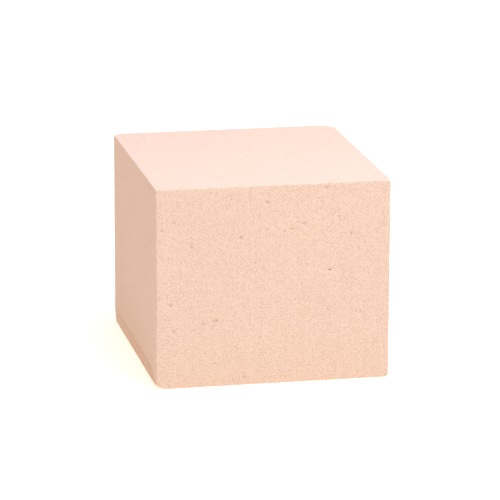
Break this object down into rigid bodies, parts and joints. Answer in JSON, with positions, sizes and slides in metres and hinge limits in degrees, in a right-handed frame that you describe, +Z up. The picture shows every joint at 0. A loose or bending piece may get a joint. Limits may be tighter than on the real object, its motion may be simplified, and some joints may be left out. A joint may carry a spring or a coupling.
{
  "type": "floral foam brick",
  "caption": "Block of rigid open-cell foam that holds cut stems: square-cut faces, crisp arrises, softened back corners, flat base to stand on.",
  "frame": {"origin": "centre of the flat base, midway along the width and the depth", "axes": "+Z up, +X to the right-hand side, +Y from the front face to the back face"},
  "size_m": [0.092, 0.1, 0.079],
  "materials": {
    "floral_foam": "matte, powdery, finely porous"
  },
  "bodies": {
    "root": {"foam_block": "floral_foam"}
  },
  "joints": []
}
